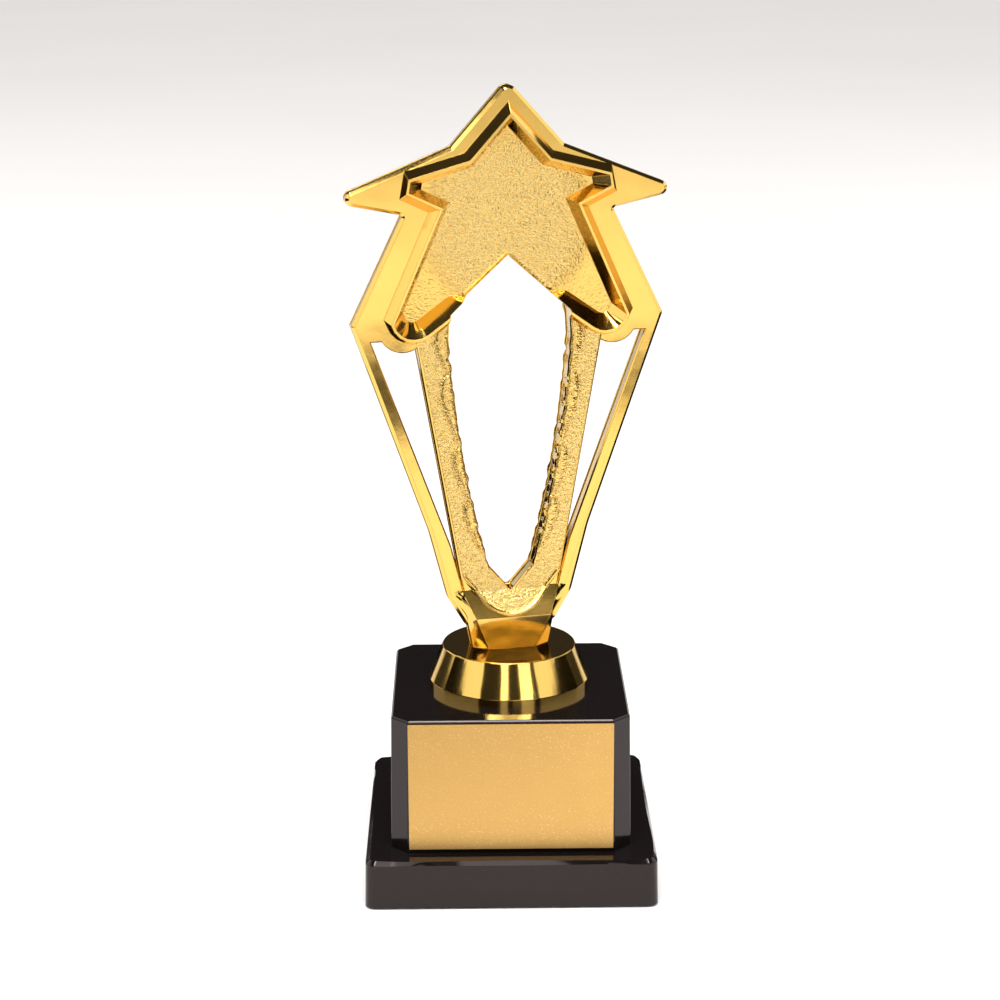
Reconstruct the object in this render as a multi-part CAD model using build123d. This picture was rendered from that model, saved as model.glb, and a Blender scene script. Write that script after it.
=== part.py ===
from build123d import *
from math import atan2, cos, hypot, radians, sin
import os

os.makedirs("parts", exist_ok=True)

# Star trophy: a gold-metallised plastic star figure on a collar and a two-tier black plinth.
# Millimetres, +Z up. The origin is on the ground under the middle of the plinth, the nameplate faces -Y.

# ---- driving dimensions -------------------------------------------------------------------------

# lower tier of the plinth
lower_width = 80.0            # across the flats at its top edge
lower_height = 13.9           # ground to the top of the lower tier
lower_flare = 0.6             # how much wider it is at the ground, for mould release
lower_corner = 3.0            # radius of the upright corners
lower_bevel = 1.2             # bevel round the top edge
foot_gap = 0.6                # the pads hold the rim this far off the ground

# upper tier of the plinth
upper_width = 65.3            # across the flats at its top edge
upper_height = 38.2
upper_flare = 1.0
upper_corner = 4.6            # chamfer on the upright corners, measured along each side
upper_bevel = 0.6

# both tiers are open-bottomed mouldings
wall = 2.2
deck = 2.5                    # thickness of the top of each tier
boss_diameter = 7.0           # screw bosses inside the upper tier
boss_reach = 19.0             # half the spacing of the bosses, which stand on a square

# collar
collar_base = 45.4            # diameter at the plinth
collar_top = 37.2             # diameter of the flat top
collar_height = 11.5
collar_rim = 2.1              # height of the upright rim at the bottom
collar_wall = 1.8
collar_boss = 11.0            # diameter of the boss that takes the clamping load
collar_edge = 0.5             # rounding of its outer edges

# fasteners
stud_diameter = 5.0
running_gap = 0.05            # radial clearance of the stud in the collar, where the figure turns
loose_gap = 0.25              # radial clearance of the stud in both decks
nut_flats = 8.0
nut_thickness = 4.0
nut_gap = 0.1                 # clearance all round the trapped nut
washer_diameter = 18.0
washer_thickness = 1.0
lock_washer_diameter = 9.2
lock_washer_thickness = 1.3
stud_below = 0.6              # stud end below the clamp nut
stud_above = 1.0              # stud end above the trapped nut
stud_chamfer = 0.5
bore_spare = 0.5              # how far the figure's bore runs past the stud's end
trap_rise = 2.6               # height of the trapped nut above the collar
nut_chamfer = 0.45            # turned off the nuts' corners
lock_washer_slit = 0.6
screw_diameter = 2.9
screw_length = 9.5
screw_head = 5.4
screw_head_height = 1.8
screw_gap = 0.2               # radial clearance of a screw in the lower deck
pilot_spare = 1.0             # how far a pilot hole runs past the screw's point
cross_width = 0.7             # the screw's cross recess
cross_depth = 0.6

# underside
rebate_width = 1.0
cover_thickness = 1.6
cover_gap = 0.25
cover_rise = 1.6              # ground to the underside of the cover, which is also the pad thickness
pad_diameter = 10.0
pad_margin = 2.85             # pad's edge to the cover's edge

# ballast
ballast_gap = 0.8             # clearance to the walls, the deck and the bosses
ballast_bore = 9.0

# nameplate
plate_thickness = 0.5
plate_drop = 0.9              # below the top edge of the upper tier
plate_rise = 1.1              # above the lower tier
plate_side_gap = 0.0          # to the chamfered corners, at the top edge of the tier
tape_thickness = 0.2
tape_margin = 1.0
plate_corner = 0.3

# figure
figure_height = 220.0         # ground to the rounded tip of the star
figure_span = 88.4            # across the rounded tips of the two arms
figure_turn = 12.0            # degrees the figure is turned on its stud
frame_depth = 2.5             # half the thickness of the polished frame
edge_bevel = 0.9              # bevel round the frame's outline
slot_bevel = 0.4              # bevel round the two slots
ribbon_depth = 3.2            # half the thickness of the grained ribbons
ribbon_bevel = 0.4
crest_depth = 5.2             # middle plane to the crest of the star's rim
crest_width = 0.7
rim_spread = 2.0              # how far the rim's outer wall spreads from crest to frame
floor_depth = 0.7             # middle plane to the floor of the star dish
dish_slope = 1.9              # inset of the dish walls from crest to floor
end_slope = 4.0               # the same at the blunt ends of arms and legs
tip_radius = 2.6
arm_radius = 2.0
side_radius = 1.0             # widest corner of the frame
pit_radius = 0.6              # inward corners of the outline
bar_bend = 30.0               # where the side bars turn in towards the neck
neck_bend = 6.0
neck_width = 21.5             # across the neck where it meets the collar
neck_depth = 10.4
neck_flare = 3.8              # how much wider the neck is at its shoulder
neck_height = 9.4
neck_swell = 1.5              # how much deeper it is at its shoulder, on each side
neck_flats = (0.62, 0.84, 0.80)    # share of the width that is flat at the foot, the shoulder and the top
neck_side = 0.1               # how much its sides' edges stand off the frame's face
ribbon_raise = 0.5            # how far the ribbons' foot stands proud of the neck's slope
peg_diameter = 2.4
peg_height = 1.3
peg_gap = 0.1

# ---- heights worked out from those --------------------------------------------------------------

upper_base = lower_height
upper_top = upper_base + upper_height
collar_level = upper_top + collar_height
lower_ceiling = lower_height - deck
upper_ceiling = upper_top - deck
washer_level = lower_ceiling - washer_thickness
lock_level = washer_level - lock_washer_thickness
clamp_level = lock_level - nut_thickness
stud_bottom = clamp_level - stud_below
trap_level = collar_level + trap_rise
stud_top = trap_level + nut_thickness + stud_above
shoulder_level = collar_level + neck_height
cover_top = cover_rise + cover_thickness
cover_side = lower_width + lower_flare - 2 * wall + 2 * rebate_width - 2 * cover_gap
pad_reach = cover_side / 2 - pad_margin - pad_diameter / 2
plate_width = upper_width - 2 * upper_corner - 2 * plate_side_gap
plate_height = upper_height - plate_drop - plate_rise

# The figure is drawn on a grid of a drawing 220 high and 88.4 wide, and scaled to its real size:
# x from the middle plane of symmetry, z from the collar's top.
drawing_foot = 63.6
rise = (figure_height - collar_level) / (220.0 - drawing_foot)
spread = figure_span / 88.4


def at(x, z):
    """A point of the drawing in the figure's own flat plane."""
    return (x * spread, collar_level + (z - drawing_foot) * rise)


def save(node, shape):
    shape.label = node
    export_step(shape, f"parts/{node}.step")


# ---- shared shapes ------------------------------------------------------------------------------

def tapered_block(width_low, width_high, low, high, corner, round_corner=False):
    """A square tier from low to high, with its upright corners rounded or chamfered."""
    rings = []
    for width, level in ((width_low, low), (width_high, high)):
        square = Rectangle(width, width)
        corners = square.vertices()
        soft = fillet(corners, corner) if round_corner else chamfer(corners, corner)
        rings.append(Pos(0, 0, level) * soft)
    return loft(rings, ruled=True)


def drill(diameter, low, high, x=0.0, y=0.0):
    return Pos(x, y, (low + high) / 2) * Cylinder(diameter / 2, high - low)


def ring_solid(outer, inner, low, high):
    return drill(outer, low, high) - drill(inner, low - 1, high + 1)


def hexagon(flats, low, high):
    blank = extrude(Pos(0, 0, low) * RegularPolygon(flats / 2, 6, major_radius=False), amount=high - low)
    return Rot(0, 0, 30) * blank


def boss_places(reach):
    return [(sx * reach, sy * reach) for sx in (-1, 1) for sy in (-1, 1)]


# ---- plinth -------------------------------------------------------------------------------------

def bevel_top(solid, size):
    return chamfer(solid.faces().sort_by(Axis.Z)[-1].edges(), size)


def make_lower_plinth():
    """Hollow step: deck with a stud hole and four screw holes, rebate for the base cover."""
    bottom_width = lower_width + lower_flare
    body = tapered_block(bottom_width, lower_width, foot_gap, lower_height, lower_corner, round_corner=True)
    body = bevel_top(body, lower_bevel)
    inner_corner = lower_corner - wall / 2
    body -= tapered_block(bottom_width - 2 * wall, lower_width - 2 * wall, foot_gap, lower_ceiling,
                          inner_corner, round_corner=True)
    rebate = bottom_width - 2 * wall + 2 * rebate_width
    body -= tapered_block(rebate, rebate, foot_gap, cover_top, inner_corner, round_corner=True)
    body -= drill(stud_diameter + 2 * loose_gap, lower_ceiling - 1, lower_height + 1)
    for x, y in boss_places(boss_reach):
        body -= drill(screw_diameter + 2 * screw_gap, lower_ceiling - 1, lower_height + 1, x, y)
    return body


def make_base_cover():
    return tapered_block(cover_side, cover_side, cover_rise, cover_top, lower_corner - wall / 2,
                         round_corner=True)


def make_foot_pads():
    return Compound([drill(pad_diameter, 0, cover_rise, x, y) for x, y in boss_places(pad_reach)])


def inner_upper_corner():
    """Chamfer of the upper tier's cavity that leaves the same wall at the corner as at the sides."""
    return upper_corner - wall * (2 - 2 ** 0.5)


def make_upper_plinth():
    """Hollow box with chamfered corners and four screw bosses under its deck."""
    bottom_width = upper_width + upper_flare
    body = tapered_block(bottom_width, upper_width, upper_base, upper_top, upper_corner)
    body = bevel_top(body, upper_bevel)
    body -= tapered_block(bottom_width - 2 * wall, upper_width - 2 * wall, upper_base, upper_ceiling,
                          inner_upper_corner())
    body -= drill(stud_diameter + 2 * loose_gap, upper_ceiling - 1, upper_top + 1)
    pilot_top = lower_ceiling + screw_length + pilot_spare
    for x, y in boss_places(boss_reach):
        body += drill(boss_diameter, upper_base, upper_ceiling, x, y)
        body -= drill(screw_diameter, upper_base - 1, pilot_top, x, y)
    return body


def make_ballast():
    """Plaster block cast to fit round the bosses and the stud, standing on the lower deck."""
    side = upper_width - 2 * wall - 2 * ballast_gap
    top = upper_ceiling - ballast_gap
    block = tapered_block(side, side, upper_base, top, inner_upper_corner())
    block -= drill(ballast_bore, upper_base - 1, top + 1)
    for x, y in boss_places(boss_reach):
        block -= drill(boss_diameter + 2 * ballast_gap, upper_base - 1, top + 1, x, y)
    return block


def make_tier_screws():
    """Four pan-head self-tapping screws, driven up through the lower deck."""
    screws = []
    for x, y in boss_places(boss_reach):
        screw = drill(screw_head, lower_ceiling - screw_head_height, lower_ceiling, x, y)
        screw = fillet(screw.faces().sort_by(Axis.Z)[0].edges(), screw_head_height / 2)
        recess = Pos(x, y, lower_ceiling - screw_head_height)
        slot = recess * Box(cross_width, screw_diameter, 2 * cross_depth)
        cross = recess * Box(screw_diameter, cross_width, 2 * cross_depth)
        screw += drill(screw_diameter, lower_ceiling, lower_ceiling + screw_length, x, y)
        screws.append(screw - slot - cross)
    return Compound(screws)


def front_face_plane(height):
    """A plane on the upper tier's sloping front face, with its origin at the given height."""
    lean = upper_flare / 2 / upper_height
    y = -(upper_width / 2 + (upper_top - height) * lean)
    return Plane(origin=(0, y, height), x_dir=(1, 0, 0), z_dir=(0, -cos(atan2(lean, 1)), sin(atan2(lean, 1))))


def make_nameplate_sheets():
    """The blank metal plate and the adhesive sheet that holds it to the front of the upper tier."""
    middle = front_face_plane(upper_top - plate_drop - plate_height / 2)
    tape = RectangleRounded(plate_width - 2 * tape_margin, plate_height - 2 * tape_margin, plate_corner)
    plate = RectangleRounded(plate_width, plate_height, plate_corner)
    return (extrude(middle.offset(tape_thickness) * plate, amount=plate_thickness),
            extrude(middle * tape, amount=tape_thickness))


# ---- collar and fasteners -----------------------------------------------------------------------

def make_collar():
    """Hollow cone on an upright rim, with a central boss, which is the bearing the stud turns in."""
    foot, head = collar_base / 2, collar_top / 2
    bore = stud_diameter / 2 + running_gap
    low, high = upper_top, collar_level
    ceiling = high - collar_wall
    profile = Polyline(
        (bore, low), (collar_boss / 2, low), (collar_boss / 2, ceiling),
        (head - collar_wall, ceiling), (foot - collar_wall, low + collar_rim), (foot - collar_wall, low),
        (foot, low), (foot, low + collar_rim), (head, high), (bore, high), (bore, low))
    solid = revolve(Plane.XZ * make_face(profile), Axis.Z)
    outer = [edge for edge in solid.edges().filter_by(GeomType.CIRCLE)
             if edge.radius > head - 0.01 and edge.center().Z > low + 0.1]
    return fillet(outer, collar_edge)


def make_stud():
    rod = drill(stud_diameter, stud_bottom, stud_top)
    return chamfer(rod.edges().filter_by(GeomType.CIRCLE), stud_chamfer)


def make_nut(level):
    """A hexagon nut with its corners turned off, bored to the thread's outer diameter."""
    corner = nut_flats / 2 / cos(radians(30))
    blank = drill(2 * corner, level, level + nut_thickness)
    turned = chamfer(blank.edges().filter_by(GeomType.CIRCLE), nut_chamfer)
    return (hexagon(nut_flats, level, level + nut_thickness) & turned) - drill(
        stud_diameter, level - 1, level + nut_thickness + 1)


def make_flat_washer():
    return ring_solid(washer_diameter, stud_diameter + 2 * loose_gap, washer_level, lower_ceiling)


def make_lock_washer():
    """Split spring washer, shown pressed flat, with its slanting cut."""
    ring = ring_solid(lock_washer_diameter, stud_diameter + 2 * running_gap, lock_level, washer_level)
    slit = Pos(lock_washer_diameter / 2, 0, (lock_level + washer_level) / 2) * Rot(30, 0, 0) * Box(
        lock_washer_diameter / 2, lock_washer_slit, 4 * lock_washer_thickness)
    return ring - slit


# ---- star figure --------------------------------------------------------------------------------
# Drawn in its own upright plane as a right-hand half outline from the top down, then mirrored.

frame_right = [(0, 221.4), (15.5, 204.1), (49.2, 190.6), (29.1, 186.3), (43.5, 156.8), (22.6, 97.7),
               (17.6, 78.3), (13.1, 70.6), (9.0, 67.5)]
star_top = [(0, 213.0), (11.1, 200.7), (27.9, 196.2), (28.6, 192.3), (19.5, 187.9)]
leg_middle = (26.6, 159.0)    # middle of the round end of a leg
leg_radius = 6.75
leg_angles = (-15.5, -126.5)  # directions from that middle, in degrees, where the round starts and ends
leg_steps = 6
leg_crotch = (12.0, 161.2)
leg_turns = [radians(leg_angles[0] + (leg_angles[1] - leg_angles[0]) * step / leg_steps)
             for step in range(leg_steps + 1)]
leg_round = [(leg_middle[0] + leg_radius * cos(turn), leg_middle[1] + leg_radius * sin(turn))
             for turn in leg_turns]
star_right = star_top + leg_round + [leg_crotch]
# for each edge of the star that starts at the point above: does it close a blunt end of the dish?
star_blunt = [False, False, True, False, False] + [True] * leg_steps + [True, False]
slot_top = 152.2
slot_right = [(38.2, slot_top), (35.2, slot_top), (29.6, 148.9), (25.6, 150.0), (13.5, 80.8), (16.8, 93.7)]
lens_right = [(0, 174.2), (16.6, 159.2), (17.0, 152.0), (13.3, 120.0), (6.1, 87.0), (0, 79.9)]
ribbon_right = [(0, 73.6), (8.4, 77.4), (14.2, 84.4), (26.1, 153.0), (16.0, 158.5)]
neck_top = (34.6, 80.6)       # width and height at which the neck has faded into the frame
peg_right = (38.0, 157.2)
peg_low = (0, 76.2)


def mirrored(right_points):
    """A closed ring of points: the right-hand half from the top down, then the left from the bottom up."""
    right = [at(*point) for point in right_points]
    left = [(-x, z) for x, z in reversed(right) if x > 1e-6]
    return right + left


def crossing(p, u, q, v):
    """Where the line through p along u meets the line through q along v."""
    turn = u[0] * v[1] - u[1] * v[0]
    along = ((q[0] - p[0]) * v[1] - (q[1] - p[1]) * v[0]) / turn
    return (p[0] + along * u[0], p[1] + along * u[1])


def inset(points, distances):
    """Move each edge of a clockwise ring inwards by its own distance; edge i starts at point i."""
    count = len(points)
    edges = []
    for i in range(count):
        (x0, z0), (x1, z1) = points[i], points[(i + 1) % count]
        length = hypot(x1 - x0, z1 - z0)
        along = ((x1 - x0) / length, (z1 - z0) / length)
        inward = (along[1], -along[0])
        edges.append(((x0 + inward[0] * distances[i], z0 + inward[1] * distances[i]), along))
    return [crossing(*edges[i - 1], *edges[i]) for i in range(count)]


def star_distances(plain, blunt):
    """One distance per edge of the full star, plain for its sides and blunt for its cut-off ends."""
    right = [blunt if end else plain for end in star_blunt]
    return right + list(reversed(right[:-1]))


def soften(sketch, places):
    """Round the corners of a sketch that lie at the given points, on both sides."""
    for (x, z), radius in places:
        px, pz = at(x, z)
        found = [v for v in sketch.vertices() if hypot(abs(v.X) - px, v.Y - pz) < 0.05]
        sketch = fillet(found, radius)
    return sketch


def ring_face(points):
    return make_face(Polyline(*points, close=True))


def frame_outline():
    sketch = ring_face(mirrored(frame_right))
    radii = (tip_radius, pit_radius, arm_radius, pit_radius, side_radius, bar_bend, neck_bend)
    return soften(sketch, zip(frame_right, radii))


def slot_faces():
    """The two long slots, each with a rounded lobe of the frame standing into its top."""
    faces = []
    for side in (1, -1):
        p = [(x * side, z) for x, z in (at(*point) for point in slot_right)]
        edge = Line(p[0], p[1]) + ThreePointArc(p[1], p[2], p[3]) + Polyline(p[3], p[4], p[5], p[0])
        faces.append(make_face(edge))
    return faces[0] + faces[1]


def lens_face():
    """The pointed opening in the middle: a peak between the star's legs, long bowed sides, a V below."""
    right = [at(*point) for point in lens_right]
    peak, shoulder, start, middle, end, foot = right
    flip = [(-x, z) for x, z in right]
    edges = (Polyline(peak, shoulder, start) + ThreePointArc(start, middle, end) + Line(end, foot)
             + Line(foot, flip[4]) + ThreePointArc(flip[4], flip[3], flip[2])
             + Polyline(flip[2], flip[1], peak))
    return make_face(edges)


def ribbon_face():
    """Outline of the grained ribbons, which run down from the legs and join in a U above the neck."""
    right = [at(*point) for point in ribbon_right]
    bottom, low, bend, high, inner = right
    flip = [(-x, z) for x, z in right]
    edges = (ThreePointArc(flip[1], bottom, low)
             + Polyline(low, bend, high, inner, flip[4], flip[3], flip[2], flip[1]))
    return make_face(edges)


def forward(sketch, depth=0.0):
    """Stand a flat sketch upright, facing -Y, at the given depth in front of the middle plane."""
    return Plane.XZ.offset(depth) * sketch


def stand(sketch, deep, start=0.0):
    return extrude(forward(sketch, start), amount=deep - start)


def front_edges(solid, deep):
    """Edges that lie wholly in the plane at the given depth."""
    return [e for e in solid.edges() if all(abs(v.Y + deep) < 1e-4 for v in e.vertices())]


def mouth_edges(solid, cutter):
    """The solid's front edges that the cutter has left round the mouth of its hole."""
    mouths = [e.center() for e in front_edges(cutter, frame_depth)]
    return [e for e in front_edges(solid, frame_depth) if min((e.center() - m).length for m in mouths) < 1e-3]


def star_block():
    """The raised rim's outer body: upright to the frame's face, then sloping in to the crest."""
    crest = mirrored(star_right)
    foot = inset(crest, star_distances(-rim_spread, -rim_spread / 2))
    slope = loft([forward(ring_face(foot), frame_depth), forward(ring_face(crest), crest_depth)], ruled=True)
    return stand(ring_face(foot), frame_depth) + slope


def star_dish():
    """The space inside the rim: narrow walls along the sides, long slopes at the blunt ends."""
    brink = inset(mirrored(star_right), star_distances(crest_width, crest_width))
    ground = inset(brink, star_distances(dish_slope, end_slope))
    low, high = forward(ring_face(ground), floor_depth), forward(ring_face(brink), crest_depth)
    walls = loft([low, high], ruled=True)
    return walls + stand(ring_face(brink), crest_depth + 1, crest_depth)


def neck_block():
    """Front half of the neck: an eight-sided foot that widens upwards and fades into the frame."""
    top_width, top_level = at(*neck_top)
    levels = (collar_level, shoulder_level, top_level)
    widths = (neck_width, neck_width + neck_flare, top_width)
    depths = (neck_depth / 2, neck_depth / 2 + neck_swell, ribbon_depth - ribbon_raise)
    sides = (frame_depth - neck_side, frame_depth + neck_side, frame_depth - 2 * neck_side)
    rings = []
    for level, width, deep, side, flat in zip(levels, widths, depths, sides, neck_flats):
        half = width / 2
        left = [(-half, 0), (-half, -side), (-half * flat, -deep)]
        ring = left + [(-x, y) for x, y in reversed(left)]
        rings.append(Pos(0, 0, level) * ring_face(ring))
    return loft(rings[:2], ruled=True) + loft(rings[1:], ruled=True)


def ribbon_foot(outline):
    """The U at the foot of the ribbons, which follows the neck's slope a little in front of it."""
    shoulder, top = neck_depth / 2 + neck_swell + ribbon_raise, at(*neck_top)[1]
    side = [(0, shoulder_level), (-shoulder, shoulder_level), (-ribbon_depth, top), (0, top)]
    wedge = make_face(Polyline(*side, close=True))
    return stand(outline, 2 * shoulder) & extrude(Plane.YZ * wedge, amount=neck_width, both=True)


def peg_places():
    x, z = at(*peg_right)
    return [(x, z), (-x, z), at(*peg_low)]


def pegs(diameter, height):
    rods = [stand(Pos(x, z) * Circle(diameter / 2), height) for x, z in peg_places()]
    return rods[0] + rods[1] + rods[2]


def figure_half():
    """The front half without its pegs or sockets: everything ahead of the middle plane."""
    gaps = slot_faces() + lens_face()
    frame = stand(frame_outline(), frame_depth)
    frame = chamfer(front_edges(frame, frame_depth), edge_bevel) - stand(gaps, frame_depth)
    frame = chamfer(mouth_edges(frame, stand(slot_faces(), frame_depth)), slot_bevel)
    grained = ribbon_face() - gaps
    ribbon = stand(grained, ribbon_depth)
    ribbon = chamfer(front_edges(ribbon, ribbon_depth), ribbon_bevel) + ribbon_foot(grained)
    star = star_block() - stand(gaps, crest_depth + 1)
    half = frame + ribbon + star - star_dish() + neck_block()
    trap = hexagon(nut_flats + 2 * nut_gap, trap_level - nut_gap, trap_level + nut_thickness + nut_gap)
    bore = drill(stud_diameter + 2 * loose_gap, collar_level - 1, stud_top + bore_spare)
    return half - trap - bore


def make_figure_halves():
    """Front and rear halves, turned together on the stud. The rear half carries the locating pegs."""
    half = figure_half()
    front = half - pegs(peg_diameter + 2 * peg_gap, peg_height + peg_gap)
    rear = mirror(half, about=Plane.XZ) + pegs(peg_diameter, peg_height)
    return Rot(0, 0, figure_turn) * front, Rot(0, 0, figure_turn) * rear


figure_front, figure_rear = make_figure_halves()
nameplate, nameplate_tape = make_nameplate_sheets()

save("figure_front", figure_front)
save("figure_rear", figure_rear)
save("neck_nut", Rot(0, 0, figure_turn) * make_nut(trap_level))
save("tie_stud", make_stud())
save("clamp_nut", make_nut(clamp_level))
save("spring_washer", make_lock_washer())
save("flat_washer", make_flat_washer())
save("collar", make_collar())
save("upper_plinth", make_upper_plinth())
save("ballast_block", make_ballast())
save("lower_plinth", make_lower_plinth())
save("tier_screws", make_tier_screws())
save("base_cover", make_base_cover())
save("foot_pads", make_foot_pads())
save("nameplate", nameplate)
save("nameplate_tape", nameplate_tape)
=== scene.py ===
import math
import random

import bmesh
import bpy
import numpy
from mathutils import Matrix, Vector, noise
from mathutils.bvhtree import BVHTree
from mathutils.geometry import delaunay_2d_cdt
from mathutils.kdtree import KDTree


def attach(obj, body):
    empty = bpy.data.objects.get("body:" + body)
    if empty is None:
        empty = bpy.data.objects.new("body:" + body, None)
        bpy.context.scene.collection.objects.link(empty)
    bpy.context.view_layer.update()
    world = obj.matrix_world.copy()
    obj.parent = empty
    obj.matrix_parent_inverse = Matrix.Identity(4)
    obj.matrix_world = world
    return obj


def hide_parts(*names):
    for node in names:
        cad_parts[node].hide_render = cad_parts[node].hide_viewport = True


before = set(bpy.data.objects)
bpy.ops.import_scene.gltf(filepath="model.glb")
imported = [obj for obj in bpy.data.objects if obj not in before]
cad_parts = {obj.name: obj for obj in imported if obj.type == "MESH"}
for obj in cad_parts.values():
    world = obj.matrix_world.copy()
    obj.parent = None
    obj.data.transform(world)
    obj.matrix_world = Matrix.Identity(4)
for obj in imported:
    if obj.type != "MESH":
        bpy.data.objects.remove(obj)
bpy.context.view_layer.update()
mm = 0.001

# ---- lower tier of the plinth --------------------------------------------------------------------
# A shallow black step, injection moulded in gloss ABS with its top edge bevelled. It stands on four
# foam pads stuck to a fibreboard cover that is pressed into the rebate under it.


class Wire:
    """A socket in a material's node tree. Sums, differences and products of wires add Math nodes."""

    def __init__(self, tree, socket=None):
        self.tree = tree
        self.socket = socket

    def node(self, kind, settings=None, values=None, output=0):
        """Adds a node, sets it up, gives its sockets values or links, and returns one of its outputs."""
        made = self.tree.nodes.new(kind)
        for name, value in (settings or {}).items():
            setattr(made, name, value)
        for name, value in (values or {}).items():
            if isinstance(value, Wire):
                self.tree.links.new(value.socket, made.inputs[name])
            else:
                made.inputs[name].default_value = value
        return Wire(self.tree, made.outputs[output] if made.outputs else None)

    def maths(self, operation, first, second, clamp=False):
        settings = {"operation": operation, "use_clamp": clamp}
        return self.node("ShaderNodeMath", settings, {0: first, 1: second})

    def __add__(self, other):
        return self.maths("ADD", self, other)

    def __sub__(self, other):
        return self.maths("SUBTRACT", self, other)

    def __rsub__(self, other):
        return self.maths("SUBTRACT", other, self)

    def __mul__(self, other):
        return self.maths("MULTIPLY", self, other)

    __radd__ = __add__
    __rmul__ = __mul__


def start_material(name):
    """A new material with an empty node tree, and the place on the piece as its first wire."""
    material = bpy.data.materials.new(name)
    material.use_nodes = True
    material.node_tree.nodes.clear()
    tree = Wire(material.node_tree)
    return material, tree, tree.node("ShaderNodeTexCoord", output="Object")


def cloud(place, size, detail=3.0, roughness=0.5):
    """Even noise from 0 to 1 whose patches are about the given size in metres."""
    values = {"Vector": place, "Scale": 1 / size, "Detail": detail, "Roughness": roughness}
    return place.node("ShaderNodeTexNoise", {"noise_dimensions": "3D"}, values)


def blend_colours(share, first, second):
    """The first colour where the share is 0, the second where it is 1."""
    return share.node("ShaderNodeMix", {"data_type": "RGBA"}, {0: share, 6: first, 7: second}, output=2)


def relief(height, depth, under=None):
    """A bump of the given depth in metres, on top of another bump if there is one."""
    values = {"Height": height, "Distance": depth, "Strength": 1.0}
    if under:
        values["Normal"] = under
    return height.node("ShaderNodeBump", None, values)


def end_material(tree, values):
    """Closes a material with one Principled surface that has the given sockets."""
    surface = tree.node("ShaderNodeBsdfPrincipled", None, values)
    tree.node("ShaderNodeOutputMaterial", None, {"Surface": surface})


def make_gloss_black():
    """Gloss ABS: nearly black, faintly wavy from the mould, with a breath of dust and fine rub marks."""
    material, tree, place = start_material("gloss_black_abs")
    sink = cloud(place, 14 * mm, 1.0)
    peel = cloud(place, 1.1 * mm, 2.0)
    speck = cloud(place, 0.35 * mm, 0.0)
    dust = speck.maths("GREATER_THAN", speck, 0.84)
    haze = cloud(place, 22 * mm, 4.0, 0.6)
    stretched = place.node("ShaderNodeMapping", None, {"Vector": place, "Scale": (1.0, 1.0, 14.0)})
    streak = cloud(stretched, 3.0 * mm, 2.0)
    rub = streak.maths("SUBTRACT", streak, 0.62, clamp=True)
    end_material(tree, {
        "Base Color": blend_colours(dust, (0.0052, 0.0038, 0.0038, 1), (0.022, 0.020, 0.020, 1)),
        "Roughness": haze * 0.10 + rub * 0.35 + dust * 0.25 + 0.055,
        "Normal": relief(peel, 0.0035 * mm, relief(sink, 0.06 * mm)),
        "IOR": 1.41,
        "Specular Tint": (1.0, 0.86, 0.86, 1),
    })
    return material


weld = 0.001 * mm
flat_angle = math.radians(0.5)
sharp_turn = math.radians(28)


def cad_copy(node):
    """The CAD node's mesh with its seams welded and its flat faces whole."""
    mesh = bmesh.new()
    mesh.from_mesh(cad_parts[node].data)
    bmesh.ops.remove_doubles(mesh, verts=mesh.verts, dist=weld)
    bmesh.ops.dissolve_limit(mesh, angle_limit=flat_angle, verts=mesh.verts, edges=mesh.edges)
    return mesh


def round_edges(mesh, radius, kept=(), clamp=True):
    """Rounds the mesh's sharp edges, apart from the kept ones."""
    edges = [e for e in mesh.edges if e.is_manifold and e.calc_face_angle() > sharp_turn and e not in kept]
    bmesh.ops.bevel(mesh, geom=edges, offset=radius, offset_type="WIDTH", segments=3, profile=0.5,
                    affect="EDGES", clamp_overlap=clamp)


def put_in_scene(name, mesh, body, slot, *materials):
    """Makes a shown piece of a mesh, shaded smooth over its rounded edges, riding on a body."""
    data = bpy.data.meshes.new(name)
    mesh.to_mesh(data)
    mesh.free()
    for material in materials:
        data.materials.append(material)
    data.polygons.foreach_set("use_smooth", [True] * len(data.polygons))
    piece = bpy.data.objects.new(name, data)
    bpy.context.collection.objects.link(piece)
    even = piece.modifiers.new("even_shading", "WEIGHTED_NORMAL")
    even.mode = "FACE_AREA"
    even.weight = 100
    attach(piece, body)
    return piece


def moulded(name, node, radius, body, slot, material):
    """A piece with a CAD node's own shape and softened edges, shown instead of that node."""
    mesh = cad_copy(node)
    round_edges(mesh, radius)
    piece = put_in_scene(name, mesh, body, slot, material)
    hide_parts(node)


gloss_black = make_gloss_black()
moulded("lower_plinth_moulding", "lower_plinth", 0.42 * mm, "plinth", "black_plastic", gloss_black)

# ---- upper tier of the plinth --------------------------------------------------------------------
# A box with cut-off corners in the same gloss black, screwed to the lower tier from below. Its edges
# are crisper than the step's.

moulded("upper_plinth_moulding", "upper_plinth", 0.32 * mm, "plinth", "black_plastic", gloss_black)

# ---- nameplate -----------------------------------------------------------------------------------
# A blank plate of satin gold anodised aluminium, stuck over the whole front of the upper tier.


def make_satin_plate():
    """Anodised aluminium with a fine pearly mottle and a few bright flecks."""
    material, tree, place = start_material("satin_gold_plate")
    fine = cloud(place, 0.22 * mm, 1.0)
    patch = cloud(place, 5.0 * mm, 3.0)
    fleck = cloud(place, 0.35 * mm, 0.0)
    flecks = fleck.maths("SUBTRACT", fleck, 0.64, clamp=True) * 2.0
    toned = blend_colours(patch * 0.5 + fine * 0.5, (0.64, 0.385, 0.115, 1), (0.74, 0.46, 0.15, 1))
    end_material(tree, {
        "Base Color": blend_colours(flecks, toned, (1.0, 0.78, 0.42, 1)),
        "Metallic": 0.85,
        "Roughness": fine * 0.16 + 0.42,
        "Normal": relief(fine, 0.012 * mm),
    })
    return material


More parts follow.
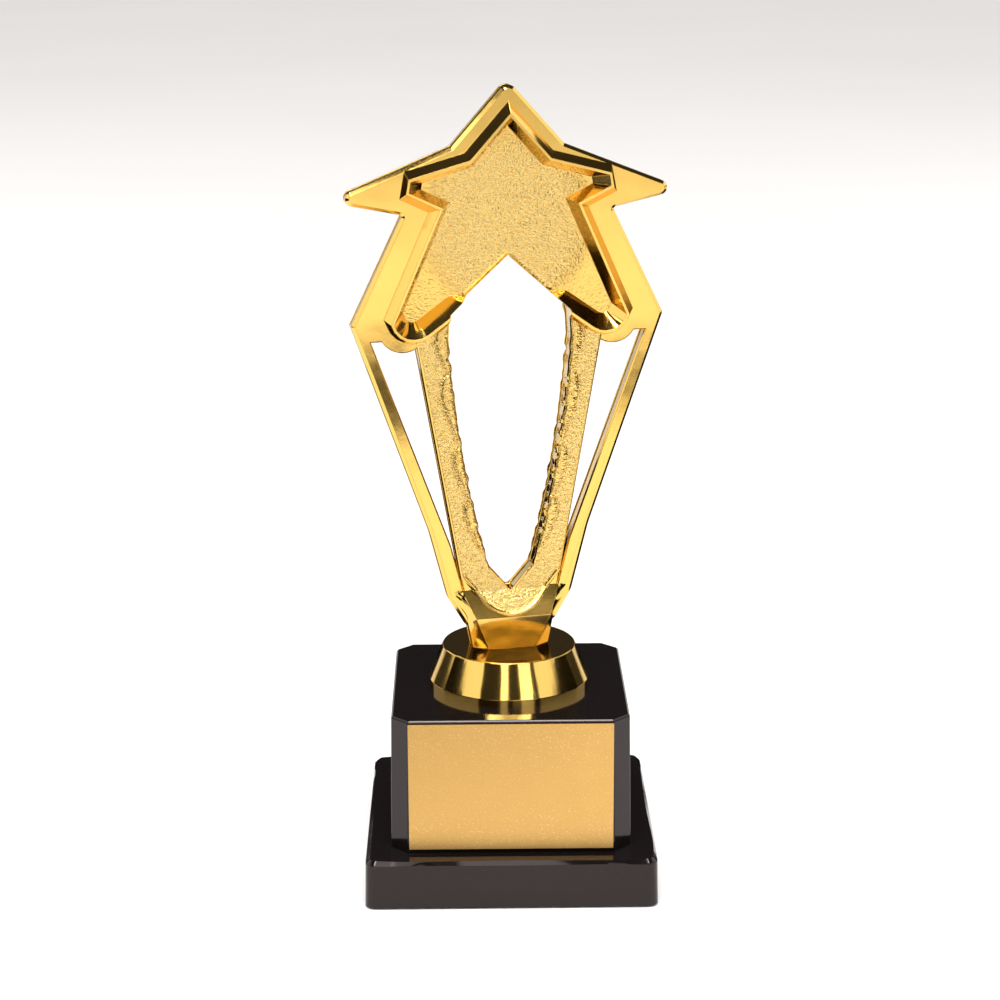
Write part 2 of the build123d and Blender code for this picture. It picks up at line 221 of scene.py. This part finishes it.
satin_plate = make_satin_plate()
moulded("nameplate_sheet", "nameplate", 0.10 * mm, "plinth", "plate_metal", satin_plate)

# ---- collar --------------------------------------------------------------------------------------
# A hollow cone with an upright rim, moulded in ABS and vacuum metallised in gold under clear lacquer.


def make_polished_gold():
    """Mirror-like plating, faintly wavy from the mould, hazed in soft patches."""
    material, tree, place = start_material("polished_gold_plating")
    sink = cloud(place, 9 * mm, 1.0)
    peel = cloud(place, 0.9 * mm, 2.0)
    haze = cloud(place, 12 * mm, 4.0, 0.6)
    tone = cloud(place, 25 * mm, 2.0)
    end_material(tree, {
        "Base Color": blend_colours(tone, (0.80, 0.52, 0.13, 1), (0.76, 0.485, 0.12, 1)),
        "Metallic": 1.0,
        "Roughness": haze * 0.10 + 0.05,
        "Normal": relief(peel, 0.003 * mm, relief(sink, 0.05 * mm)),
    })
    return material


polished_gold = make_polished_gold()
moulded("collar_moulding", "collar", 0.2 * mm, "plinth", "gold_plating", polished_gold)

# ---- star figure ---------------------------------------------------------------------------------
# Two mirrored half mouldings in ABS, bonded along their middle plane and vacuum metallised in gold.
# The floor of the star and the two ribbons are cast with a grain, the rest is polished like the collar.

grain_pitch = 0.26 * mm
grain_rows = 0.87 * grain_pitch
grain_jitter = 0.2


def smooth_step(low, high, value):
    """0 below low, 1 above high, and a smooth way between them."""
    share = min(max((value - low) / (high - low), 0.0), 1.0)
    return share * share * (3 - 2 * share)


def facing_turn(mesh):
    """How far the half is turned about its stud, seen from the flat face that joins it to the other."""
    joint = max(mesh.faces, key=lambda face: face.calc_area()).normal
    return math.atan2(-joint.x, joint.y)


facing_forward = -0.999
large_area = 50 * mm * mm
same_level = 0.05 * mm


def flat_levels(mesh):
    """How far ahead of the middle plane the large forward-facing flats lie, nearest plane first."""
    areas = {}
    for face in mesh.faces:
        if face.normal.y < facing_forward:
            level = round(-face.calc_center_median().y, 5)
            areas[level] = areas.get(level, 0.0) + face.calc_area()
    return sorted(level for level, area in areas.items() if area > large_area)


def flats_at(mesh, level):
    """The forward-facing flats at one level."""
    return [face for face in mesh.faces if face.normal.y < facing_forward
            and abs(face.calc_center_median().y + level) < same_level]


def cast_grain(point):
    """Height of the cast grain at a place, about -1 to 1."""
    crystal, lump = 0.85 * mm, 0.62 * mm
    nearest, second = noise.voronoi(point / crystal)[0][:2]
    return noise.noise(point / lump) + 1.5 * (second - nearest) - 0.5


def flat_finder(points):
    """A function that gives how far the nearest of the points is, as seen from the front."""
    tree = KDTree(len(points))
    for index, point in enumerate(points):
        tree.insert(Vector((point.x, 0, point.z)), index)
    tree.balance()
    return lambda place: tree.find(Vector((place.x, 0, place.z)))[2]


def regrain(mesh, patch, lift, layer):
    """Fills a patch of faces again with a fine net. lift() gives each point's height and weight."""
    inside = set(patch)
    rim = [edge for edge in mesh.edges if sum(face in inside for face in edge.link_faces) == 1]
    corners = {}
    for edge in rim:
        for vert in edge.verts:
            corners.setdefault(vert, len(corners))
    edges = [(corners[edge.verts[0]], corners[edge.verts[1]]) for edge in rim]
    old = bmesh.new()
    copies = {vert: old.verts.new(vert.co) for face in patch for vert in face.verts}
    for face in patch:
        old.faces.new([copies[vert] for vert in face.verts])
    bmesh.ops.triangulate(old, faces=old.faces)
    surface = BVHTree.FromBMesh(old)
    old.free()

    made = list(corners)
    net = [Vector((vert.co.x, vert.co.z)) for vert in made]
    to_rim = flat_finder([vert.co for vert in made])
    draw = random.Random(7)
    left, low = min(spot.x for spot in net), min(spot.y for spot in net)
    columns = int((max(spot.x for spot in net) - left) / grain_pitch) + 1
    rows = int((max(spot.y for spot in net) - low) / grain_rows) + 1
    for row in range(rows):
        for column in range(columns):
            across = column + 0.5 * (row % 2) + draw.uniform(-grain_jitter, grain_jitter)
            up = row + draw.uniform(-grain_jitter, grain_jitter)
            spot = Vector((left + across * grain_pitch, 0, low + up * grain_rows))
            hit = surface.ray_cast(spot - Vector((0, 1, 0)), Vector((0, 1, 0)))[0]
            if hit and to_rim(spot) > 0.6 * grain_pitch:
                net.append(spot.xz)
                made.append(mesh.verts.new(hit))
    bmesh.ops.delete(mesh, geom=patch, context="FACES")

    faces, sources = delaunay_2d_cdt(net, edges, [], 1, 0.1 * weld)[2:4]
    for vert in made:
        height, share = lift(vert.co, 0.0 if vert in corners else to_rim(vert.co))
        vert[layer] = share
        vert.co.y -= height
    for face in faces:
        loop = [made[sources[index][0]] for index in face]
        a, b, c = (vert.co for vert in loop[:3])
        if (b - a).cross(c - a).y > 0:
            loop.reverse()
        mesh.faces.new(loop).material_index = 1


def rim_of(mesh, patch, accept):
    """How far the nearest edge is where the patch meets faces that accept() passes, as a function."""
    inside = set(patch)
    spacing = 0.3 * mm
    points = []
    for edge in mesh.edges:
        others = [face for face in edge.link_faces if face not in inside]
        if len(others) == 1 and len(edge.link_faces) == 2 and accept(others[0].calc_center_median()):
            first, last = (vert.co for vert in edge.verts)
            steps = int((last - first).length / spacing) + 1
            points += [first.lerp(last, step / steps) for step in range(steps + 1)]
    return flat_finder(points)


def serrate_opening(mesh):
    """Makes the opening's edges along the ribbons uneven, and returns how far out they lie at a height."""
    low, high, step = 83 * mm, 151.5 * mm, 0.6 * mm
    walls = []
    for face in mesh.faces:
        middle = face.calc_center_median()
        within = 11 * mm + 0.12 * (middle.z - 80 * mm)
        if -0.995 < face.normal.y < 0.3 and low < middle.z < high and abs(middle.x) < within:
            walls.append(face)
    for cut in range(1, int((high - low) / step)):
        geometry = dict.fromkeys(walls)
        geometry.update(dict.fromkeys(edge for face in walls for edge in face.edges))
        geometry.update(dict.fromkeys(vert for face in walls for vert in face.verts))
        made = bmesh.ops.bisect_plane(mesh, geom=list(geometry), plane_co=(0, 0, low + cut * step),
                                      plane_no=(0, 0, 1))
        walls = [part for part in made["geom"] if isinstance(part, bmesh.types.BMFace)]

    moved = dict.fromkeys(vert for face in walls for vert in face.verts)
    edge = sorted((vert.co.z, abs(vert.co.x)) for vert in moved if -vert.co.y > 2.5 * mm)
    wave_height, wave_length = 0.7 * mm, 2.6 * mm
    for vert in moved:
        height, side = vert.co.z, math.copysign(1.0, vert.co.x)
        wave = wave_height * noise.noise(Vector((3 * side, 0, height / wave_length)))
        wave *= smooth_step(low, low + 3 * mm, height) * (1 - smooth_step(high - 4 * mm, high, height))
        vert.co.x += side * wave * smooth_step(0, 0.8 * mm, -vert.co.y)
    heights, distances = zip(*edge)
    return lambda z: float(numpy.interp(z, heights, distances))


leaves = [(156.5, 141.0, 3.6), (142.5, 121.9, 3.5), (121.6, 105.6, 3.1), (106.6, 90.0, 3.0)]


def leaf_lift(inward, z):
    """How far the leaf-shaped pads along the ribbons' inner edges stand off the ribbon, and their cover."""
    pad, groove = 0.6 * mm, 0.25 * mm
    lift, cover = 0.0, 0.0
    for top, bottom, width in leaves:
        down = (top * mm - z) / ((top - bottom) * mm)
        if 0 < down < 1:
            outline = width * mm * math.sin(math.pi * down ** 0.55) ** 0.8
            if 0 <= inward < outline:
                across = inward / outline
                crown = (4 * (0.1 + 0.9 * across) * (1 - across)) ** 0.4
                lift = pad * crown * smooth_step(0, mm, outline)
                cover = 1.0
            elif not cover:
                lift = -groove * smooth_step(-0.8 * mm, -0.1 * mm, outline - inward)
    return lift, cover


def grain_star_floor(mesh, level, layer):
    """Grains the star's floor. Its arms and legs are polished, and its open edge rolls off."""
    floor = flats_at(mesh, level)
    star_middle = Vector((0, 0, 183 * mm))
    full_grain, polished = 17 * mm, 26 * mm
    grain_height, roll_drop, roll_width = 0.105 * mm, 0.42 * mm, 1.3 * mm
    to_open = rim_of(mesh, floor, lambda middle: middle.y > -level)

    def lift(point, inward):
        share = 1 - 0.85 * smooth_step(full_grain, polished, (point - star_middle).length)
        flat = smooth_step(0, roll_width, to_open(point))
        grain = grain_height * share * smooth_step(0, 0.35 * mm, inward) * cast_grain(point)
        return grain - roll_drop * (1 - flat), share * flat

    regrain(mesh, floor, lift, layer)


def grain_ribbons(mesh, ribbons, edge_at, layer):
    """Grains the ribbons, lays the leaves along their inner edges and a bead round their joined foot."""
    grain_height, lump_height, bead_radius, bead_height = 0.12 * mm, 0.10 * mm, 0.5 * mm, 0.45 * mm
    leaves_from, leaves_within = 88 * mm, 5 * mm
    to_foot = rim_of(mesh, ribbons, lambda middle: middle.z < 84 * mm and (
        abs(middle.x) > 9 * mm or middle.z < 79 * mm))

    def lift(point, inward):
        from_edge = abs(point.x) - edge_at(point.z)
        pad, cover = 0.0, 0.0
        if point.z > leaves_from and from_edge < leaves_within:
            pad, cover = leaf_lift(from_edge, point.z)
        bead = math.sqrt(max(1 - abs(to_foot(point) / bead_radius - 1), 0.0))
        share = (1 - 0.45 * cover) * (1 - smooth_step(0, 0.5, bead))
        grain = grain_height * share * smooth_step(0, 0.35 * mm, inward) * cast_grain(point)
        lumps = lump_height * cover * noise.noise(point / (1.6 * mm))
        return grain + bead_height * bead + (pad + lumps) * smooth_step(0, 0.3 * mm, inward), share

    regrain(mesh, ribbons, lift, layer)


def make_figure_half(name, node):
    """One half, worked on while it faces straight ahead and then turned back to where it stands."""
    mesh = cad_copy(node)
    turn = facing_turn(mesh)
    bmesh.ops.rotate(mesh, verts=mesh.verts, cent=(0, 0, 0), matrix=Matrix.Rotation(-turn, 3, "Z"))
    floor_level, _, ribbon_level = flat_levels(mesh)[:3]

    floor_edges = {edge for face in flats_at(mesh, floor_level) for edge in face.edges}
    kept = {edge for edge in mesh.edges if all(abs(vert.co.y) < weld for vert in edge.verts)}
    kept |= {edge for edge in floor_edges
             if min(face.calc_center_median().y for face in edge.link_faces) > -floor_level - same_level}
    round_edges(mesh, 0.1 * mm, kept, clamp=False)
    edge_at = serrate_opening(mesh)

    layer = mesh.verts.layers.float.new("grained")
    grain_star_floor(mesh, floor_level, layer)
    ribbons = dict.fromkeys(flats_at(mesh, ribbon_level))
    ribbons.update(dict.fromkeys(near for face in ribbons for edge in face.edges for near in edge.link_faces
                                 if -0.95 < near.normal.y < -0.8 and near.calc_area() > large_area))
    grain_ribbons(mesh, list(ribbons), edge_at, layer)
    bmesh.ops.holes_fill(mesh, edges=[edge for edge in mesh.edges if edge.is_boundary])
    bmesh.ops.rotate(mesh, verts=mesh.verts, cent=(0, 0, 0), matrix=Matrix.Rotation(turn, 3, "Z"))
    piece = put_in_scene(name, mesh, "figure", "gold_plating", polished_gold, grained_gold)
    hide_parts(node)


def make_grained_gold():
    """The same plating over the cast grain, duller where the grain is full."""
    material, tree, place = start_material("grained_gold_plating")
    share = tree.node("ShaderNodeAttribute", {"attribute_name": "grained"}, output="Fac")
    fine = cloud(place, 0.28 * mm, 3.0, 0.65)
    values = {"Vector": place, "Scale": 1 / (0.42 * mm)}
    facets = place.node("ShaderNodeTexVoronoi", {"feature": "F1"}, values)
    tone = blend_colours(cloud(place, 18 * mm, 2.0), (0.80, 0.52, 0.13, 1), (0.74, 0.47, 0.115, 1))
    end_material(tree, {
        "Base Color": blend_colours(fine * 0.7 * share, tone, (0.98, 0.76, 0.34, 1)),
        "Metallic": 1.0,
        "Roughness": share * (fine * 0.16 + 0.06) + 0.07,
        "Normal": relief(facets * share, 0.09 * mm, relief(fine * share, 0.05 * mm)),
    })
    return material


grained_gold = make_grained_gold()
make_figure_half("figure_front_moulding", "figure_front")
make_figure_half("figure_rear_moulding", "figure_rear")

# ---- base cover ----------------------------------------------------------------------------------
# Black hardboard pressed into the lower tier from below: matted fibres with a few pale ones.


def dress(material, *nodes):
    """Gives a finish to CAD nodes that are shown as they are."""
    for node in nodes:
        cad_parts[node].material_slots[0].material = material


def make_hardboard():
    """Felted fibres that bend about, with the odd pale one."""
    material, tree, place = start_material("black_hardboard")
    drift = place.node("ShaderNodeTexNoise", None, {"Vector": place, "Scale": 1 / (4 * mm)}, output="Color")
    bent = place.node("ShaderNodeVectorMath", {"operation": "MULTIPLY_ADD"},
                      {0: drift, 1: (2 * mm, 2 * mm, 0), 2: place})
    stretched = bent.node("ShaderNodeMapping", None, {"Vector": bent, "Scale": (1.0, 9.0, 1.0)})
    fibres = cloud(stretched, 1.6 * mm, 4.0)
    pale = fibres.maths("SUBTRACT", fibres, 0.66, clamp=True) * 3.0
    felted = cloud(place, 3.5 * mm, 4.0)
    black = blend_colours(felted, (0.012, 0.011, 0.010, 1), (0.03, 0.027, 0.024, 1))
    end_material(tree, {
        "Base Color": blend_colours(pale, black, (0.10, 0.08, 0.06, 1)),
        "Roughness": felted * 0.2 + 0.7,
        "Normal": relief(fibres, 0.05 * mm, relief(felted, 0.04 * mm)),
    })
    return material


dress(make_hardboard(), "base_cover")

# ---- foot pads -----------------------------------------------------------------------------------
# Four discs of closed-cell foam rubber, stuck to the base cover.


def make_foam_rubber():
    """Black foam with fine closed cells, a little greyer where it is worn."""
    material, tree, place = start_material("black_foam_rubber")
    values = {"Vector": place, "Scale": 1 / (0.35 * mm)}
    cells = place.node("ShaderNodeTexVoronoi", {"feature": "DISTANCE_TO_EDGE"}, values)
    worn = cloud(place, 2.5 * mm, 4.0)
    end_material(tree, {
        "Base Color": blend_colours(worn, (0.012, 0.012, 0.012, 1), (0.035, 0.034, 0.032, 1)),
        "Roughness": worn * 0.15 + 0.8,
        "Normal": relief(cells, 0.08 * mm),
    })
    return material


dress(make_foam_rubber(), "foot_pads")

# ---- nameplate tape ------------------------------------------------------------------------------
# A die-cut sheet of double-sided foam tape between the nameplate and the upper tier.


def make_foam_tape():
    """White foam, slightly soiled, with very fine cells."""
    material, tree, place = start_material("white_foam_tape")
    cells = cloud(place, 0.2 * mm, 2.0)
    soiled = cloud(place, 4 * mm, 4.0)
    end_material(tree, {
        "Base Color": blend_colours(soiled, (0.74, 0.73, 0.70, 1), (0.62, 0.60, 0.56, 1)),
        "Roughness": cells * 0.2 + 0.6,
        "Normal": relief(cells, 0.03 * mm),
    })
    return material


dress(make_foam_tape(), "nameplate_tape")

# ---- fixings inside ------------------------------------------------------------------------------
# Zinc-plated steel: the stud, its two nuts and two washers, and the four screws between the tiers.


def make_zinc_steel():
    """Zinc in small crystals, with a thin film in patches."""
    material, tree, place = start_material("zinc_plated_steel")
    values = {"Vector": place, "Scale": 1 / (0.6 * mm)}
    crystals = place.node("ShaderNodeTexVoronoi", {"feature": "F1"}, values)
    film = cloud(place, 2 * mm, 4.0)
    end_material(tree, {
        "Base Color": blend_colours(film, (0.56, 0.57, 0.60, 1), (0.66, 0.65, 0.62, 1)),
        "Metallic": 1.0,
        "Roughness": crystals * 0.2 + film * 0.15 + 0.15,
        "Normal": relief(crystals, 0.01 * mm),
    })
    return material


dress(make_zinc_steel(), "tie_stud", "neck_nut", "clamp_nut", "flat_washer", "spring_washer", "tier_screws")

# ---- ballast -------------------------------------------------------------------------------------
# Gypsum plaster poured into the upper tier: chalky, with the pits of trapped air.


def make_plaster():
    """Chalky plaster with pits where air was trapped."""
    material, tree, place = start_material("gypsum_plaster")
    values = {"Vector": place, "Scale": 1 / (2.2 * mm)}
    air = place.node("ShaderNodeTexVoronoi", {"feature": "F1"}, values)
    pits = air.node("ShaderNodeMapRange", None, {"Value": air, "From Min": 0.08, "From Max": 0.2})
    chalk = cloud(place, 6 * mm, 5.0)
    end_material(tree, {
        "Base Color": blend_colours(chalk, (0.80, 0.78, 0.74, 1), (0.70, 0.68, 0.63, 1)),
        "Roughness": chalk * 0.1 + 0.85,
        "Normal": relief(pits, 0.3 * mm, relief(chalk, 0.1 * mm)),
    })
    return material


dress(make_plaster(), "ballast_block")

# ---- studio --------------------------------------------------------------------------------------
# A plain pale table top under even light, soft boxes for the gold to mirror, and low black cards
# between them that only its reflections show.


def make_table_top():
    """Matt pale paper, barely mottled."""
    material, tree, place = start_material("pale_table_top")
    mottled = cloud(place, 300 * mm, 3.0)
    end_material(tree, {
        "Base Color": blend_colours(mottled, (0.80, 0.79, 0.785, 1), (0.83, 0.82, 0.815, 1)),
        "Roughness": mottled * 0.1 + 0.75,
    })
    return material


def make_card_black():
    """Black flocked card that gives back almost no light."""
    material, tree, place = start_material("card_black")
    flock = cloud(place, 2 * mm, 2.0)
    end_material(tree, {
        "Base Color": blend_colours(flock, (0.002, 0.002, 0.002, 1), (0.004, 0.0035, 0.003, 1)),
        "Roughness": 1.0,
        "Specular IOR Level": 0.0,
    })
    return material


def set_out(name, points, faces, material):
    """A flat or bent sheet that belongs to the studio."""
    data = bpy.data.meshes.new(name)
    data.from_pydata(points, [], faces)
    data.materials.append(material)
    sheet = bpy.data.objects.new(name, data)
    bpy.context.collection.objects.link(sheet)
    return sheet


def in_front(azimuth, distance, height):
    """A place round the trophy. Azimuth 0 is straight ahead of it and 90 to its right."""
    a = math.radians(azimuth)
    return Vector((math.sin(a) * distance, -math.cos(a) * distance, height))


def only_mirrored(card):
    """Leaves a card in reflections only."""
    card.visible_camera = card.visible_diffuse = card.visible_shadow = False


def black_card(name, first, last):
    """An upright card bent round the trophy from one azimuth to another."""
    steps, distance, top = 12, 0.45, 0.20
    around = [first + (last - first) * step / steps for step in range(steps + 1)]
    points = [in_front(azimuth, distance, z) for azimuth in around for z in (2 * mm, top)]
    faces = [(2 * i, 2 * i + 1, 2 * i + 3, 2 * i + 2) for i in range(steps)]
    only_mirrored(set_out(name, points, faces, card_black))


def low_card(name, left, right, near, far):
    """A card lying on the table."""
    points = [(left, near, mm), (right, near, mm), (right, far, mm), (left, far, mm)]
    only_mirrored(set_out(name, points, [(0, 1, 2, 3)], card_black))


def soft_box(name, azimuth, elevation, width, height, brightness, colour=(1.0, 0.985, 0.965)):
    """A soft box at a fixed distance from the trophy's middle and aimed at it, of a given radiance."""
    distance, aim = 1.3, 0.12
    e = math.radians(elevation)
    middle = in_front(azimuth, distance * math.cos(e), distance * math.sin(e) + aim)
    light = bpy.data.lights.new(name, "AREA")
    light.shape = "RECTANGLE"
    light.size, light.size_y = width, height
    light.energy = brightness * math.pi * width * height
    light.color = colour
    lamp = bpy.data.objects.new(name, light)
    lamp.location = middle
    lamp.rotation_euler = (Vector((0, 0, aim)) - middle).to_track_quat("-Z", "Y").to_euler()
    bpy.context.collection.objects.link(lamp)


reach = 8.0
set_out("table_top", [(-reach, -reach, 0), (reach, -reach, 0), (reach, reach, 0), (-reach, reach, 0)],
        [(0, 1, 2, 3)], make_table_top())
card_black = make_card_black()
black_card("left_card", -24, -105)
black_card("right_card", 40, 110)
low_card("rear_card", -0.50, 0.50, 0.07, 0.55)
low_card("near_left_card", -0.26, 0.02, -0.31, -0.13)
low_card("right_card_on_table", 0.29, 0.54, -0.58, -0.30)
low_card("front_card", -0.10, 0.235, -0.66, -0.47)
soft_box("left_box", -92, 24, 2.5, 0.8, 1.4)
soft_box("right_box", 92, 24, 2.5, 0.8, 1.4)
soft_box("left_strip", -8, 27, 0.22, 0.7, 2.6)
soft_box("right_strip", 26, 22, 0.40, 0.5, 2.6)
soft_box("front_box", 18, 11, 0.6, 0.26, 1.2)
soft_box("front_top_box", -14, 50, 0.7, 0.55, 3.2)
soft_box("top_strip", 0, 70, 1.0, 0.16, 20.0)
soft_box("left_top_strip", -62, 43, 0.35, 0.15, 3.0)
soft_box("right_top_strip", 62, 43, 0.35, 0.15, 3.0)

sky = bpy.data.lights.new("even_light", "SUN")
sky.energy = 3.0
sky.angle = math.radians(75)
sky.color = (1.0, 0.985, 0.97)
sky_lamp = bpy.data.objects.new("even_light", sky)
sky_lamp.rotation_euler = (math.radians(12), 0, 0)
sky_lamp.visible_glossy = False
bpy.context.collection.objects.link(sky_lamp)

world = bpy.data.worlds.new("studio")
world.use_nodes = True
world.node_tree.nodes["Background"].inputs["Color"].default_value = (0.04, 0.037, 0.034, 1)
bpy.context.scene.world = world

# ---- camera --------------------------------------------------------------------------------------
# A long lens at about two and a half times the trophy's height above the table, looking down at it.

lens = bpy.data.cameras.new("camera")
lens.sensor_width = 36.0
lens.lens = 90.6
camera = bpy.data.objects.new("camera", lens)
pitch, yaw, roll = 0.272, -0.011, -0.005
camera.matrix_world = (Matrix.Translation((-9.7 * mm, -674.7 * mm, 293.4 * mm))
                       @ Matrix.Rotation(yaw, 4, "Z") @ Matrix.Rotation(math.pi / 2 - pitch, 4, "X")
                       @ Matrix.Rotation(roll, 4, "Z"))
bpy.context.collection.objects.link(camera)
bpy.context.scene.camera = camera
bpy.context.scene.view_settings.view_transform = "Standard"
